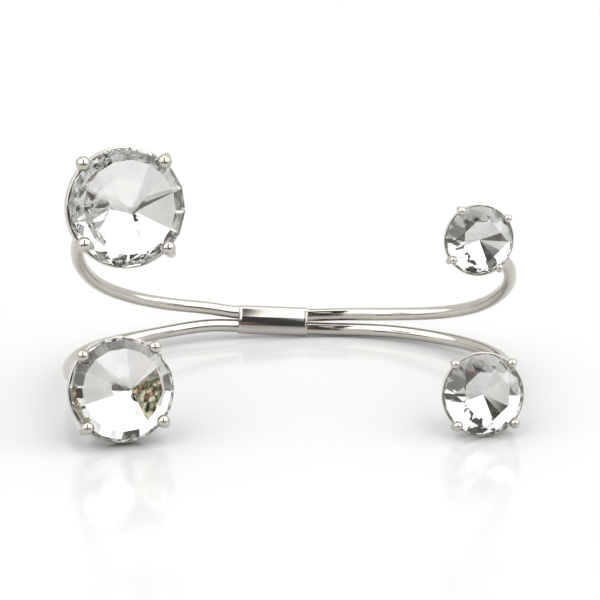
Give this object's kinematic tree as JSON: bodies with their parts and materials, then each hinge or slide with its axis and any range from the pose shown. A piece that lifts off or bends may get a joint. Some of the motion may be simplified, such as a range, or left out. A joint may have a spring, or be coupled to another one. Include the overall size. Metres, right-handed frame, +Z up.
{
  "type": "cuff bangle",
  "caption": "Open cuff bangle of two round wires held by a sleeve at the back, each end carrying a claw-set round clear crystal, resting on its side.",
  "frame": {"origin": "middle of the bounding box's base, on the table that the bangle rests on, lying on its side", "axes": "+X across the bangle, -Y out of the open mouth between the stones, +Z up from the table, roughly along the wrist"},
  "size_m": [0.0646, 0.0474, 0.0382],
  "materials": {
    "silver_plate": "polished rhodium-coloured plate on brass",
    "sleeve_plate": "polished rhodium-coloured plate on brass",
    "pointed_crystal": "faceted clear crystal, foiled behind",
    "table_crystal": "faceted clear crystal, foiled behind"
  },
  "bodies": {
    "root": {"upper_wire": "silver_plate", "lower_wire": "silver_plate", "sleeve": "sleeve_plate", "stone_upper_left": "pointed_crystal", "stone_lower_left": "pointed_crystal", "stone_upper_right": "table_crystal", "stone_lower_right": "table_crystal"}
  },
  "joints": []
}
